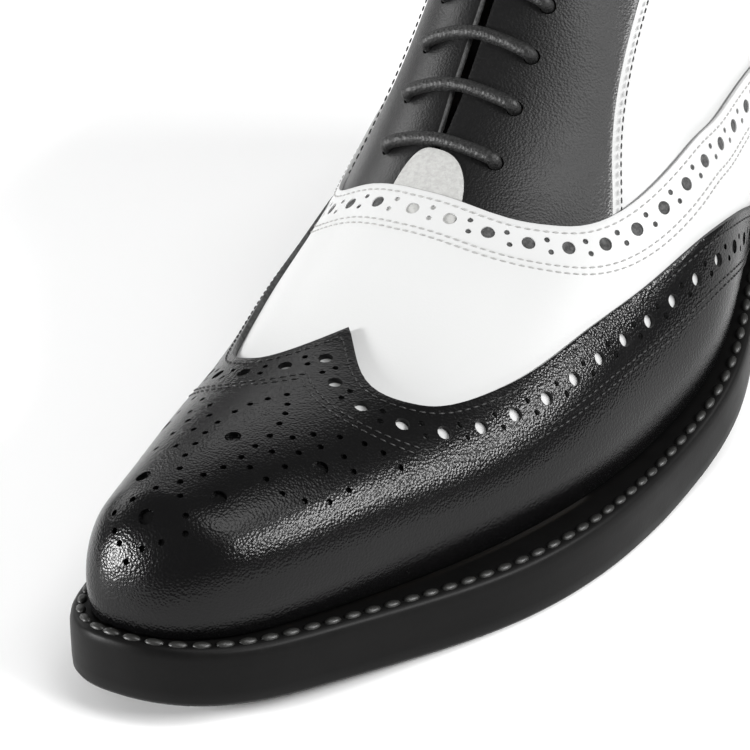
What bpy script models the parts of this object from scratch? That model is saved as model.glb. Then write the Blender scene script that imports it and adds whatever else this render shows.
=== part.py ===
# A spectator shoe with a wing toe cap, closed lacing and a stacked heel: one left shoe that
# stands empty on its sole. The toe points towards -Y and the outer side faces +X.
# Sizes are in millimetres until a mesh is made.
import functools
import math

import bmesh
import bpy
import numpy as np
from mathutils import Vector

MM = 0.001

# Driving sizes
OUTSOLE = 8.5            # thickness of the outsole
WELT = 4.5               # thickness of the welt
SOLE = OUTSOLE + WELT
HEEL_FROM = 255.0        # station where the sections end and the round of the heel starts
HEEL_SPAN = 48.0         # length given to the round of the heel, from the side to the back seam
HEEL_REACH = 31.5        # how far the feather line goes past HEEL_FROM
LENGTH = HEEL_FROM + HEEL_REACH
TUCK = 2.0               # how far the wall pulls in from its widest level to the feather line
WALL_SHARE = 0.18        # share of a half section that lies under its widest level
GAP = 0.3                # space between two pieces
SEAM = 0.9               # space between two covers that meet edge to edge
TOE_ROUND = (42.0, 2.35)     # reach and power of the toe's curve in plan
TOP_ROUND = (13.5, 2.0)      # the same for the toe's front wall
RIDGE_ROUND = (40.0, 2.0)
HEEL_POWER = 2.2

# Layers, as heights over the last's own surface
UPPER_WALL = 2.0
UPPER_TOP = -1.85
VAMP_TOP = -0.4
VAMP_WALL = 0.9
WING_TOP = 1.2
WING_WALL = 1.0
TONGUE_TOP = -7.1
TONGUE_WALL = 2.0

# Stations of the main features
THROAT_FOOT = 112.0      # foot of the opening between the facings
FACING_TOP = 172.0       # upper corner of the facings at the ridge
TONGUE_FROM = 106.0
TONGUE_TO = 181.0
HEEL_BREAST = 208.0      # front face of the heel
HEEL_CAP = 6.0           # thickness of the wearing piece under the heel
LACE = 2.6               # diameter of the round lace
LACE_HOLE = 3.9
LACE_REACH = 14.0        # from the ridge to a lace hole, round the section
LACE_ROWS = (122.5, 133.0, 142.0, 150.5, 159.0, 167.5)

# The last, a row for each section from the toe tip to the heel: half widths at the feather line
# to the inner and outer side, height of the ridge over the feather line, shift of the ridge to
# the outer side, widest level as a share of the height, upright share of the wall, and how far
# the crown stays flat on the inner and on the outer side
LAST_COLUMNS = ("at", "inner", "outer", "height", "ridge", "level", "wall", "crown_in", "crown_out")
LAST = (
    (0, 16.5, 24.0, 21.0, 1.0, 0.35, 0.60, 0.62, 0.62),
    (25, 15.5, 28.0, 27.3, 5.0, 0.33, 0.60, 0.62, 0.62),
    (50, 21.5, 36.0, 31.3, 6.0, 0.30, 0.57, 0.60, 0.60),
    (75, 27.0, 44.0, 35.2, 5.0, 0.26, 0.54, 0.57, 0.58),
    (100, 31.5, 49.0, 46.0, 2.0, 0.22, 0.50, 0.53, 0.53),
    (125, 34.5, 51.0, 59.0, -2.0, 0.19, 0.46, 0.49, 0.47),
    (150, 36.0, 51.0, 76.0, -4.5, 0.17, 0.42, 0.52, 0.42),
    (175, 35.5, 44.0, 92.5, -5.5, 0.155, 0.39, 0.55, 0.38),
    (200, 30.5, 39.5, 101.5, -3.0, 0.145, 0.37, 0.40, 0.34),
    (230, 30.5, 36.5, 107.0, -1.0, 0.135, 0.36, 0.32, 0.32),
    (255, 32.5, 35.0, 110.0, 0.0, 0.13, 0.36, 0.30, 0.30),
)
# Station and height of the sole's underside over the ground; it is flat under the ball
GROUND = ((-10, 7.3), (0, 5.0), (25, 2.6), (50, 0.8), (75, 0.1), (90, 0.0), (112, 0.0), (130, 2.0),
          (150, 7.3), (175, 15.3), (200, 22.0), (225, 25.2), (250, 26.2), (300, 26.7))
FLAT = (88.0, 113.0)
# Height over the feather line and reach of the heel's back past HEEL_FROM
HEEL_BACK = ((0, HEEL_REACH), (10, 33.0), (20, 33.5), (35, 32.5), (50, 30.0), (62, 27.5), (75, 25.5))
# Station and how far the welt and outsole stand out from the feather line
MARGIN = ((0, 5.2), (30, 7.0), (70, 10.5), (110, 8.5), (160, 6.0), (200, 5.5), (250, 4.5), (303, 4.5))
# Station and height of the collar's edge over the feather line
TOPLINE = ((172, 91.0), (176, 83.5), (183, 75.0), (193, 65.5), (207, 56.5), (225, 51.0), (245, 50.0),
           (265, 53.0), (285, 59.0), (303, 62.0))
# Pattern lines: share of the half section from the feather line to the ridge, and station there
WING_EDGE_OUTER = ((0.0, 204), (0.1, 190), (0.2, 175), (0.316, 156), (0.397, 138), (0.441, 123.5), (0.485, 108.5),
                   (0.516, 95), (0.566, 81), (0.632, 69.3), (0.70, 64.3), (0.80, 62.0), (0.90, 65.7), (1.0, 76.0))
WING_EDGE_INNER = ((0.0, 200), (0.1, 186), (0.2, 170), (0.30, 152), (0.38, 134), (0.43, 118), (0.46, 103),
                   (0.49, 90), (0.55, 74), (0.628, 66.5), (0.70, 64.0), (0.80, 63.3), (0.90, 68.0), (1.0, 76.0))
BAND_EDGE_OUTER = ((0.0, 340), (0.2, 272), (0.27, 245), (0.32, 217), (0.368, 185), (0.454, 159), (0.539, 137), (0.574, 130),
                   (0.616, 124.2), (0.678, 119), (0.761, 114.5), (0.883, 112), (1.0, 111.3))
BAND_EDGE_INNER = ((0.0, 340), (0.2, 270), (0.27, 240), (0.32, 208), (0.36, 180), (0.43, 152), (0.517, 128.7), (0.58, 121),
                   (0.66, 116.5), (0.76, 114), (0.84, 112.8), (0.92, 111.8), (1.0, 111.3))
TAB_HALF = 9.8           # half width of the round tab over the foot of the lacing
TAB_REACH = 9.0
EYESTAY_REAR_OUTER = ((120, 0.52), (130, 0.571), (137.4, 0.620), (144, 0.649), (150, 0.661), (164, 0.661), (180, 0.655))
EYESTAY_REAR_INNER = ((120, 0.49), (130, 0.54), (137.4, 0.60), (144, 0.635), (150, 0.65), (164, 0.655), (180, 0.65))
COUNTER_EDGE = ((0.0, 212), (0.09, 220), (0.18, 230), (0.27, 241), (0.36, 254), (0.45, 268), (0.50, 277))

# Stations and shares of the half section where the upper and its covers have their points
TOE_ROWS = (0.0, 1.0, 4.0, 9.0, 16.0, 25.0, 35.0, 46.0, 58.0)
BODY_ROWS = (70.0, 84.0, 98.0, THROAT_FOOT, 120.0, 129.0, 138.0, 147.0, 156.0, 164.0, FACING_TOP)
COLLAR_ROWS = (176.0, 182.0, 190.0, 200.0, 212.0, 226.0, 240.0, HEEL_FROM, 266.0, 277.0, 287.0, 296.0, 303.0)
ROWS = TOE_ROWS + BODY_ROWS + COLLAR_ROWS
COLUMNS = (0.0, 0.09, 0.18, 0.27, 0.36, 0.42, 0.48, 0.57, 0.67, 0.77, 0.87, 0.94, 1.0)
FIXED_SHARE = 0.36       # columns above this share crowd together under the upper's edge
SNAP = 0.13              # an edge this near to a corner of a cell, as a share of its side, goes through it


def smooth(rows, column=1):
    """Natural cubic curve through a table's column over its first column."""
    xs = np.array([row[0] for row in rows], float)
    ys = np.array([row[column] for row in rows], float)
    steps = np.diff(xs)
    count = len(xs)
    system = np.eye(count)
    wanted = np.zeros(count)
    for i in range(1, count - 1):
        system[i, i - 1:i + 2] = steps[i - 1], 2 * (steps[i - 1] + steps[i]), steps[i]
        wanted[i] = 6 * ((ys[i + 1] - ys[i]) / steps[i] - (ys[i] - ys[i - 1]) / steps[i - 1])
    bend = np.linalg.solve(system, wanted)

    def value(x):
        x = np.clip(np.asarray(x, float), xs[0], xs[-1])
        i = np.clip(np.searchsorted(xs, x) - 1, 0, count - 2)
        u = x - xs[i]
        slope = (ys[i + 1] - ys[i]) / steps[i] - steps[i] * (2 * bend[i] + bend[i + 1]) / 6
        return ys[i] + slope * u + bend[i] * u**2 / 2 + (bend[i + 1] - bend[i]) * u**3 / (6 * steps[i])

    return value


last = {name: smooth(LAST, i) for i, name in enumerate(LAST_COLUMNS) if i}
underside = smooth(GROUND)
heel_back = smooth(HEEL_BACK)
margin = smooth(MARGIN)
topline = smooth(TOPLINE)
wing_edge = {1: smooth(WING_EDGE_OUTER), -1: smooth(WING_EDGE_INNER)}
band_edge = {1: smooth(BAND_EDGE_OUTER), -1: smooth(BAND_EDGE_INNER)}
eyestay_rear = {1: smooth(EYESTAY_REAR_OUTER), -1: smooth(EYESTAY_REAR_INNER)}
counter_edge = smooth(COUNTER_EDGE)


def ground(at):
    """Height of the sole's underside, level under the ball."""
    at = np.asarray(at, float)
    level = (at > FLAT[0]) & (at < FLAT[1])
    return np.where(level, 0.0, np.maximum(underside(at), 0.0))


def rounding(at, reach, power):
    left = np.clip(1 - np.asarray(at, float) / reach, 0, 1)
    return np.clip(1 - left**power, 0, 1) ** (1 / power)


def bezier(a, p0, p1, p2, p3):
    b = 1 - a
    return b**3 * p0 + 3 * b * b * a * p1 + 3 * b * a * a * p2 + a**3 * p3


def half_section(at, around, side):
    """Side shift, station and height over the feather line of a point on the last."""
    at = np.asarray(at, float)
    station = np.clip(at, 0, HEEL_FROM)
    toe = rounding(station, *TOE_ROUND)
    width = last["outer" if side > 0 else "inner"](station) * toe
    crown = last["crown_out" if side > 0 else "crown_in"](station)
    height = last["height"](station) * rounding(station, *TOP_ROUND)
    ridge = last["ridge"](station) * rounding(station, *RIDGE_ROUND)
    widest = width + TUCK * toe - side * ridge
    level = last["level"](station) * height
    upper = np.clip((around - WALL_SHARE) / (1 - WALL_SHARE), 0, 1)
    lower = np.clip(around / WALL_SHARE, 0, 1)
    out = bezier(upper, widest, widest, crown * widest, 0 * widest) - TUCK * toe * (1 - lower) ** 2
    rise = bezier(upper, level, level + last["wall"](station) * (height - level), height, height)
    rise = np.where(around < WALL_SHARE, level * lower, rise)
    turn = np.clip((at - HEEL_FROM) / HEEL_SPAN, 0, 1) * math.pi / 2
    x = ridge + side * out * np.clip(np.cos(turn), 0, 1) ** (2 / HEEL_POWER)
    y = station + heel_back(rise) * np.sin(turn) ** (2 / HEEL_POWER)
    return x, y, rise


def over_floor(at, around, side):
    x, y, rise = half_section(at, around, side)
    return np.stack([x, y, rise + ground(y) + SOLE], -1)


def skin(at, around, side, lift=0.0):
    """Point over the last's surface, with z over the floor and y still from the toe tip."""
    at, around = np.broadcast_arrays(np.asarray(at, float), np.asarray(around, float))
    clear = np.maximum(at, 0.05)
    along = over_floor(clear + 0.2, around, side) - over_floor(np.maximum(clear - 0.2, 0.02), around, side)
    below, above = np.clip(around - 0.01, 0, 1), np.clip(around + 0.01, 0, 1)
    up = over_floor(clear, above, side) - over_floor(clear, below, side)
    across = over_floor(clear, 0.985, -side) - over_floor(clear, 0.985, side)
    up = np.where((around > 0.999)[..., None], across, up)
    normal = np.cross(along, up) * side
    normal[at >= ROWS[-1], 0] = 0.0
    normal[at <= 0.0] = (0.0, -1.0, 0.0)
    normal /= np.linalg.norm(normal, axis=-1, keepdims=True)
    points = over_floor(at, around, side) + normal * np.asarray(lift, float)[..., None]
    points[..., 2] = np.maximum(points[..., 2], ground(points[..., 1]) + SOLE + GAP)
    return points


def share_where(at, side, test):
    """Share of the half section at a station where a measure of its points first reaches zero."""
    shares = np.linspace(WALL_SHARE, 1, 400)
    x, y, rise = half_section(np.full_like(shares, at), shares, side)
    values = test(x, rise)
    hit = np.argmax(values >= 0) if (values >= 0).any() else len(shares) - 1
    if hit == 0:
        return shares[0]
    before, after = values[hit - 1], values[hit]
    return float(shares[hit - 1] + (shares[hit] - shares[hit - 1]) * (0 - before) / (after - before))


def ridge_share(at, side, reach):
    """Share of the half section that lies this far from the ridge, round the section."""
    shares = np.linspace(0.3, 1, 300)
    x, y, rise = half_section(np.full_like(shares, at), shares, side)
    steps = np.hypot(np.diff(x), np.diff(rise))
    from_ridge = np.concatenate([np.cumsum(steps[::-1])[::-1], [0.0]])
    return float(np.interp(reach, from_ridge[::-1], shares[::-1]))


@functools.cache
def opening_share(at, side):
    """Share where the upper ends: the ridge, the facing's edge or the collar."""
    if at < THROAT_FOOT:
        return 1.0
    if at <= FACING_TOP:
        open_part = min((at - THROAT_FOOT) / 20, 1)
        return ridge_share(at, side, 0.4 + 1.1 * open_part)
    return share_where(at, side, lambda x, rise: rise - topline(at))


def place(points):
    """Positions in metres, with the middle of the sole's plan at the origin."""
    x, y = sole_middle()
    return [Vector((p[0] - x, p[1] - y, p[2])) * MM for p in np.asarray(points).reshape(-1, 3)]


def new_object(name, mesh_builder, collection):
    mesh = bpy.data.meshes.new(name)
    shape = bmesh.new()
    mesh_builder(shape)
    bmesh.ops.dissolve_degenerate(shape, edges=shape.edges, dist=0.01 * MM)
    shape.to_mesh(mesh)
    shape.free()
    made = bpy.data.objects.new(name, mesh)
    collection.objects.link(made)
    return made


def shell(name, patches, thickness, collection):
    """A wall under open patches of faces, given as lists of corner points. Corners that coincide are one."""
    def build(shape):
        known = {}
        for faces in patches:
            for corners in faces:
                for point in corners:
                    key = tuple(int(round(value * 50)) for value in point)
                    if key not in known:
                        known[key] = shape.verts.new(place(point)[0])
                ring = [known[tuple(int(round(value * 50)) for value in point)] for point in corners]
                ring = list(dict.fromkeys(ring))
                if len(ring) > 2 and shape.faces.get(ring) is None:
                    shape.faces.new(ring)

    made = new_object(name, build, collection)
    wall = made.modifiers.new("wall", "SOLIDIFY")
    wall.thickness = thickness * MM
    wall.offset = -1
    return made


def loft(name, rings, collection, closed=True):
    """A body between rings of equal count. Its ends are closed with strips from side to side, or it is a ring."""
    def build(shape):
        levels = [[shape.verts.new(v) for v in place(ring)] for ring in rings]
        count = len(levels[0])
        for low, high in zip(levels, levels[1:] + ([] if closed else levels[:1])):
            for i in range(count):
                j = (i + 1) % count
                shape.faces.new((low[i], low[j], high[j], high[i]))
        for level in (levels[0], levels[-1]) if closed else ():
            for i in range(count // 2):
                corners = [level[i], level[i + 1], level[(count - i - 1) % count], level[(count - i) % count]]
                shape.faces.new(list(dict.fromkeys(corners)))
        bmesh.ops.recalc_face_normals(shape, faces=shape.faces)

    return new_object(name, build, collection)


def paint(made, colour, roughness):
    material = bpy.data.materials.new(made.name)
    material.use_nodes = True
    shader = material.node_tree.nodes["Principled BSDF"]
    shader.inputs["Base Color"].default_value = (*colour, 1)
    shader.inputs["Roughness"].default_value = roughness
    shader.inputs["Metallic"].default_value = 0.0
    made.data.materials.append(material)
    made.data.shade_smooth()
    made.data.set_sharp_from_angle(angle=math.radians(40))


def column_share(at, column, side):
    """Share of the half section for one of the upper's columns."""
    if column <= FIXED_SHARE:
        return column
    return FIXED_SHARE + (column - FIXED_SHARE) * (opening_share(at, side) - FIXED_SHARE) / (1 - FIXED_SHARE)


def share_column(at, share, side):
    if share <= FIXED_SHARE:
        return share
    return FIXED_SHARE + (share - FIXED_SHARE) * (1 - FIXED_SHARE) / (opening_share(at, side) - FIXED_SHARE)


def border(inner, outer, inside, side):
    """Where the line from a point inside a cover to one outside it meets the cover's edge."""
    low, high = 0.0, 1.0
    for _ in range(16):
        middle = (low + high) / 2
        at, column = (a + (b - a) * middle for a, b in zip(inner, outer))
        if inside(at, column_share(at, column, side)):
            low = middle
        else:
            high = middle
    if low < SNAP:
        return inner
    if low > 1 - SNAP:
        return outer
    return tuple(a + (b - a) * low for a, b in zip(inner, outer))


def patch(side, lift, inside=lambda at, share: True, columns=COLUMNS):
    """Faces over one side of the last on the upper's rows and columns, cut where a cover ends."""
    faces = []
    for front, back in zip(ROWS, ROWS[1:]):
        for low, high in zip(columns, columns[1:]):
            cell = [(front, low), (back, low), (back, high), (front, high)]
            kept = [inside(at, column_share(at, column, side)) for at, column in cell]
            face = []
            for i in range(4):
                here, there = cell[i], cell[(i + 1) % 4]
                if kept[i]:
                    face.append(here)
                if kept[i] != kept[(i + 1) % 4]:
                    pair = (here, there) if kept[i] else (there, here)
                    face.append(border(*pair, inside, side))
            if len(set(face)) > 2:
                ats = np.array([corner[0] for corner in face])
                shares = np.array([column_share(at, column, side) for at, column in face])
                points = list(skin(ats, shares, side, lift))
                faces.append(points if side > 0 else points[::-1])
    return faces


def make_upper(collection):
    return shell("upper", [patch(side, UPPER_TOP) for side in (1, -1)], UPPER_WALL, collection)


def vamp_edge(share, side):
    """The punched band's upper edge, with the half-round tab at the ridge."""
    at = min(float(band_edge[side](share)), float(counter_edge(share)) - SEAM)
    reach = distance_from_ridge(THROAT_FOOT + 4, share, side)
    if reach >= TAB_HALF:
        return at
    return THROAT_FOOT - 0.5 + TAB_REACH * math.sqrt(max(1 - (reach / TAB_HALF) ** 2.6, 0.0))


@functools.cache
def distance_from_ridge(at, share, side):
    shares = np.linspace(share, 1, 60)
    x, y, rise = half_section(np.full_like(shares, at), shares, side)
    return float(np.hypot(np.diff(x), np.diff(rise)).sum())


def make_vamp(collection):
    patches = [patch(side, VAMP_TOP, lambda at, share, s=side: at < vamp_edge(share, s)) for side in (1, -1)]
    return shell("vamp", patches, VAMP_WALL, collection)


def make_wing(collection):
    patches = [patch(side, WING_TOP, lambda at, share, s=side: at < wing_edge[s](share)) for side in (1, -1)]
    return shell("wing_cap", patches, WING_WALL, collection)


def make_eyestay(side, collection):
    """The lacing's facing, behind the vamp's edge and in front of its own rear seam."""
    def inside(at, share):
        return 115 < at < 195 and at > vamp_edge(share, side) + SEAM and share > eyestay_rear[side](at)

    name = "eyestay_outer" if side > 0 else "eyestay_inner"
    return shell(name, [patch(side, VAMP_TOP, inside)], VAMP_WALL, collection)


def make_counter(collection):
    columns = [column for column in COLUMNS if column < 0.96] + [0.97]
    patches = [patch(side, VAMP_TOP, lambda at, share: at > counter_edge(share), columns) for side in (1, -1)]
    return shell("heel_counter", patches, VAMP_WALL, collection)


def make_tongue(collection):
    """A strip under the facings: it hangs close under the vamp and leaves room for the lace higher up."""
    ats = np.linspace(TONGUE_FROM, TONGUE_TO, 10)
    hung = UPPER_TOP - UPPER_WALL - 2 * GAP
    rows = []
    for at in ats:
        sunk = np.clip((at - TONGUE_FROM) / 12, 0, 1)
        lift = hung + (TONGUE_TOP - hung) * sunk
        half = 17.0 + 5.0 * (at - TONGUE_FROM) / (TONGUE_TO - TONGUE_FROM)
        row = []
        for side in (-1, 1):
            for part in ((1.0, 0.72, 0.45, 0.2) if side < 0 else (0.0, 0.2, 0.45, 0.72, 1.0)):
                share = ridge_share(at, side, half * part) if part else 1.0
                row.append(skin(at, share, side, lift))
        rows.append(np.array(row))
    faces = [[front[i], front[i + 1], back[i + 1], back[i]]
             for front, back in zip(rows, rows[1:]) for i in range(len(front) - 1)]
    return shell("tongue", [faces], TONGUE_WALL, collection)


def lace_point(row, side, lift, reach=LACE_REACH):
    at = LACE_ROWS[row]
    return skin(at, ridge_share(at, side, reach), side, lift)


def lace_path():
    """Bars over the facings; between rows the lace runs under one facing."""
    over = VAMP_TOP + LACE / 2 + 0.45
    under = UPPER_TOP - UPPER_WALL - LACE / 2 - 0.35
    path = []
    for row in range(len(LACE_ROWS)):
        start = 1 if row % 2 == 0 else -1
        path.append(lace_point(row, start, under))
        path.append(lace_point(row, start, over - 1.0))
        path.append(lace_point(row, start, over, LACE_REACH - 1.2))
        path.append(lace_point(row, start, over, LACE_REACH * 0.5))
        path.append(lace_point(row, start, over, 0.0))
        path.append(lace_point(row, -start, over, LACE_REACH * 0.5))
        path.append(lace_point(row, -start, over, LACE_REACH - 1.2))
        path.append(lace_point(row, -start, over - 1.0))
        path.append(lace_point(row, -start, under))
    return path


def make_lace(collection):
    curve = bpy.data.curves.new("lace", "CURVE")
    curve.dimensions = "3D"
    curve.bevel_depth = LACE / 2 * MM
    curve.bevel_resolution = 2
    curve.use_fill_caps = True
    points = place(lace_path())
    spline = curve.splines.new("POLY")
    spline.points.add(len(points) - 1)
    for knot, point in zip(spline.points, points):
        knot.co = (*point, 1)
    made = bpy.data.objects.new("lace", curve)
    collection.objects.link(made)
    return made


def punch_lace_holes(pieces, cutters):
    """Round holes through each facing and the upper under it, from one cutter a hole."""
    holes = {side: bpy.data.collections.new("lace_holes_" + ("outer" if side > 0 else "inner")) for side in (1, -1)}
    for side, group in holes.items():
        cutters.children.link(group)
        for row in range(len(LACE_ROWS)):
            middle = lace_point(row, side, UPPER_TOP)
            axis = Vector(lace_point(row, side, 2.0) - lace_point(row, side, -2.0))
            mesh = bpy.data.meshes.new(f"lace_hole_{'outer' if side > 0 else 'inner'}_{row + 1}")
            shape = bmesh.new()
            bmesh.ops.create_cone(shape, cap_ends=True, segments=8, radius1=LACE_HOLE / 2 * MM,
                                  radius2=LACE_HOLE / 2 * MM, depth=8 * MM)
            shape.to_mesh(mesh)
            shape.free()
            cutter = bpy.data.objects.new(mesh.name, mesh)
            cutter.location = place(middle)[0]
            cutter.rotation_mode = "QUATERNION"
            cutter.rotation_quaternion = axis.to_track_quat("Z", "Y")
            cutter.hide_render = True
            cutter.display_type = "WIRE"
            group.objects.link(cutter)
    for piece, side in pieces:
        cut = piece.modifiers.new("lace_holes_" + ("outer" if side > 0 else "inner"), "BOOLEAN")
        cut.operation = "DIFFERENCE"
        cut.solver = "EXACT"
        cut.operand_type = "COLLECTION"
        cut.collection = holes[side]


SOLE_ROWS = (0.0, 0.9, 3.5, 8.0, 14.0, 21.0, 30.0, 40.0, 52.0, 64.0, 76.0, 88.2, 100.0, 112.8, 126.0, 138.0, 150.0,
             162.0, 174.0, 186.0, 198.0, 212.0, 226.0, 240.0, HEEL_FROM, 264.0, 273.0, 281.0, 288.5, 295.5, 303.0)


def feather_line(rows=SOLE_ROWS):
    """Plan of the feather line: out along the outer side from the toe and back along the inner side."""
    sides = {}
    for side in (1, -1):
        x, y, rise = half_section(np.array(rows), np.zeros(len(rows)), side)
        sides[side] = list(zip(x, y))
    return np.array(sides[1] + sides[-1][::-1][1:-1])


def moved_out(plan, distances):
    """A closed plan line moved along its outward normals."""
    ahead, behind = np.roll(plan, -1, 0), np.roll(plan, 1, 0)
    forward = ahead - plan
    backward = plan - behind
    forward /= np.linalg.norm(forward, axis=1)[:, None]
    backward /= np.linalg.norm(backward, axis=1)[:, None]
    tangent = forward + backward
    tangent /= np.linalg.norm(tangent, axis=1)[:, None]
    normal = np.stack([tangent[:, 1], -tangent[:, 0]], 1)
    return plan + normal * np.asarray(distances, float)[:, None]


@functools.cache
def sole_middle():
    plan = moved_out(feather_line(), margin(ring_stations()))
    low, high = plan.min(0), plan.max(0)
    return tuple((low + high) / 2)


def plan_ring(plan, stations, distance, height):
    """Ring of points on a plan line, a height over the sole's underside."""
    line = moved_out(plan, margin(stations) + distance if height is not None else distance)
    return np.column_stack([line, ground(line[:, 1]) + height])


def ring_stations(rows=SOLE_ROWS):
    return np.array(list(rows) + list(rows)[::-1][1:-1])


def make_outsole(collection):
    plan, stations = feather_line(), ring_stations()
    rings = [plan_ring(plan, stations, out, height) for out, height in
             ((-1.6, 0.0), (-0.5, 0.5), (0.0, 1.8), (0.0, OUTSOLE - GAP / 2))]
    return loft("outsole", rings, collection)


def make_welt(collection):
    plan, stations = feather_line(), ring_stations()
    low, high = OUTSOLE + GAP / 2, SOLE - GAP / 2
    inset = np.full(len(plan), -9.0)
    inner = moved_out(plan, inset)
    inner_low = np.column_stack([inner, ground(inner[:, 1]) + low])
    inner_high = np.column_stack([inner, ground(inner[:, 1]) + high])
    rings = [inner_low, plan_ring(plan, stations, 0.0, low), plan_ring(plan, stations, 0.0, high - 1.2),
             plan_ring(plan, stations, -1.2, high), inner_high]
    return loft("welt", rings, collection, closed=False)


def make_insole(collection):
    """The inner bottom, with the filling that closes the space inside the welt."""
    plan = feather_line()

    toe = 1.6 * np.exp(-ring_stations() / 12)

    def ring(inset, height):
        line = moved_out(plan, -inset - (toe if inset < 6 else 0 * toe))
        return np.column_stack([line, ground(line[:, 1]) + height])

    rings = [ring(10.1, OUTSOLE + GAP / 2), ring(10.1, SOLE + GAP / 2), ring(4.7, SOLE + GAP / 2),
             ring(4.7, SOLE + 2.6), ring(5.5, SOLE + 3.4)]
    return loft("insole", rings, collection)


def heel_plan(extra):
    """Plan of the heel from one end of its breast round the back to the other, then along the breast."""
    rows = (HEEL_BREAST, 220.0, 232.0, 244.0, HEEL_FROM, 264.0, 273.0, 281.0, 288.5, 295.5, 303.0)
    plan, stations = feather_line(), ring_stations()
    line = moved_out(plan, margin(stations) + extra)
    outer = [(x, y) for (x, y), s in zip(line[:len(SOLE_ROWS)], SOLE_ROWS) if s > HEEL_BREAST + 3]
    inner = [(x, y) for (x, y), s in zip(line[len(SOLE_ROWS):], SOLE_ROWS[::-1][1:-1]) if s > HEEL_BREAST + 3]
    y_breast = HEEL_BREAST

    def crossing(chain):
        ys = [p[1] for p in chain]
        xs = [p[0] for p in chain]
        order = np.argsort(ys)
        return float(np.interp(y_breast, np.array(ys)[order], np.array(xs)[order]))

    side_out = line[:len(SOLE_ROWS)]
    side_in = line[len(SOLE_ROWS):]
    x_out = float(np.interp(y_breast, side_out[:25, 1], side_out[:25, 0]))
    back_in = side_in[::-1]
    x_in = float(np.interp(y_breast, back_in[:24, 1], back_in[:24, 0]))
    breast = [(x_in + (x_out - x_in) * k / 6, y_breast + 5.0 * math.sin(math.pi * k / 6)) for k in range(1, 6)]
    return [(x_out, y_breast)] + outer + inner + [(x_in, y_breast)] + breast


def make_heel(collection):
    """The stacked heel from under the seat to the wearing piece."""
    def ring(extra, height):
        plan = np.array(heel_plan(extra))
        top = ground(plan[:, 1]) - GAP
        return np.column_stack([plan, top if height is None else np.full(len(plan), height)])

    def cap(level, shape):
        shape.faces.new(level)

    def solid(name, rings):
        def build(shape):
            levels = [[shape.verts.new(v) for v in place(r)] for r in rings]
            count = len(levels[0])
            for low, high in zip(levels, levels[1:]):
                for i in range(count):
                    j = (i + 1) % count
                    shape.faces.new((low[i], low[j], high[j], high[i]))
            ends = [shape.faces.new(levels[0]), shape.faces.new(levels[-1])]
            bmesh.ops.triangulate(shape, faces=ends)
            bmesh.ops.recalc_face_normals(shape, faces=shape.faces)
        return new_object(name, build, collection)

    block = solid("heel_block", [ring(-1.6, HEEL_CAP + GAP), ring(-0.6, 14.0), ring(0.0, None)])
    lift = solid("heel_cap", [ring(-2.4, 0.0), ring(-1.6, 0.8), ring(-1.6, HEEL_CAP)])
    return block, lift


def clear_scene():
    for thing in list(bpy.data.objects):
        bpy.data.objects.remove(thing, do_unlink=True)


def main():
    clear_scene()
    shoe = bpy.data.collections.new("spectator_shoe")
    cutters = bpy.data.collections.new("cutters")
    bpy.context.scene.collection.children.link(shoe)
    bpy.context.scene.collection.children.link(cutters)

    white, black, edge = (0.86, 0.85, 0.83), (0.012, 0.012, 0.013), (0.022, 0.021, 0.021)
    upper = make_upper(shoe)
    vamp = make_vamp(shoe)
    wing = make_wing(shoe)
    eyestays = {side: make_eyestay(side, shoe) for side in (1, -1)}
    counter = make_counter(shoe)
    tongue = make_tongue(shoe)
    lace = make_lace(shoe)
    punch_lace_holes([(upper, 1), (upper, -1), (eyestays[1], 1), (eyestays[-1], -1)], cutters)
    outsole = make_outsole(shoe)
    welt = make_welt(shoe)
    insole = make_insole(shoe)
    block, lift = make_heel(shoe)
    for piece in (upper, vamp):
        paint(piece, white, 0.45)
    for piece in (wing, counter, *eyestays.values(), tongue):
        paint(piece, black, 0.35)
    for piece in (outsole, welt, block, lift):
        paint(piece, edge, 0.5)
    paint(insole, (0.45, 0.33, 0.22), 0.7)
    lace.data.materials.append(vamp.data.materials[0].copy())
    lace.data.materials[0].name = "lace"
    lace.data.materials[0].node_tree.nodes["Principled BSDF"].inputs["Base Color"].default_value = (*black, 1)


main()
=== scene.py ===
import functools
import math

import bmesh
import bpy
import numpy as np
from mathutils import Matrix, Vector


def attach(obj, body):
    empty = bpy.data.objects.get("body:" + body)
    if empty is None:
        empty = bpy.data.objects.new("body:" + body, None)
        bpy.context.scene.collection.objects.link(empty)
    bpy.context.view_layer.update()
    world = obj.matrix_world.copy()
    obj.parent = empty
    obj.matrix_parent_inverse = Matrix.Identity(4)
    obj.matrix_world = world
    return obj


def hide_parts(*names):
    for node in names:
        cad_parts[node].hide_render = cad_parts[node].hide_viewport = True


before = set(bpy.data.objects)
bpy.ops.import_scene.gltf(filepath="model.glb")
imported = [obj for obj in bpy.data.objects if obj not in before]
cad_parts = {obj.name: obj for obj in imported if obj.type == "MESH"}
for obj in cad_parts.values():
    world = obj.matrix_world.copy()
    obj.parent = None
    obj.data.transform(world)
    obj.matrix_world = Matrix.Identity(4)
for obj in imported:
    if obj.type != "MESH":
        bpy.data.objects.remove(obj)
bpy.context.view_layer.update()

# The last, the shoe's own form, as in the part's source. Millimetres; at = distance from the toe tip.
mm = 0.001
lastSizes = {
    "outsole": 8.5, "welt": 4.5, "heelFrom": 255.0, "heelSpan": 48.0, "tuck": 2.0, "wallShare": 0.18,
    "toeRound": (42.0, 2.35), "topRound": (13.5, 2.0), "ridgeRound": (40.0, 2.0), "heelPower": 2.2,
    "flat": (88.0, 113.0), "middle": (8.1, 142.9), "throatFoot": 112.0, "facingTop": 172.0,
}
lastNames = ("at", "inner", "outer", "height", "ridge", "level", "wall", "crownIn", "crownOut")
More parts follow.
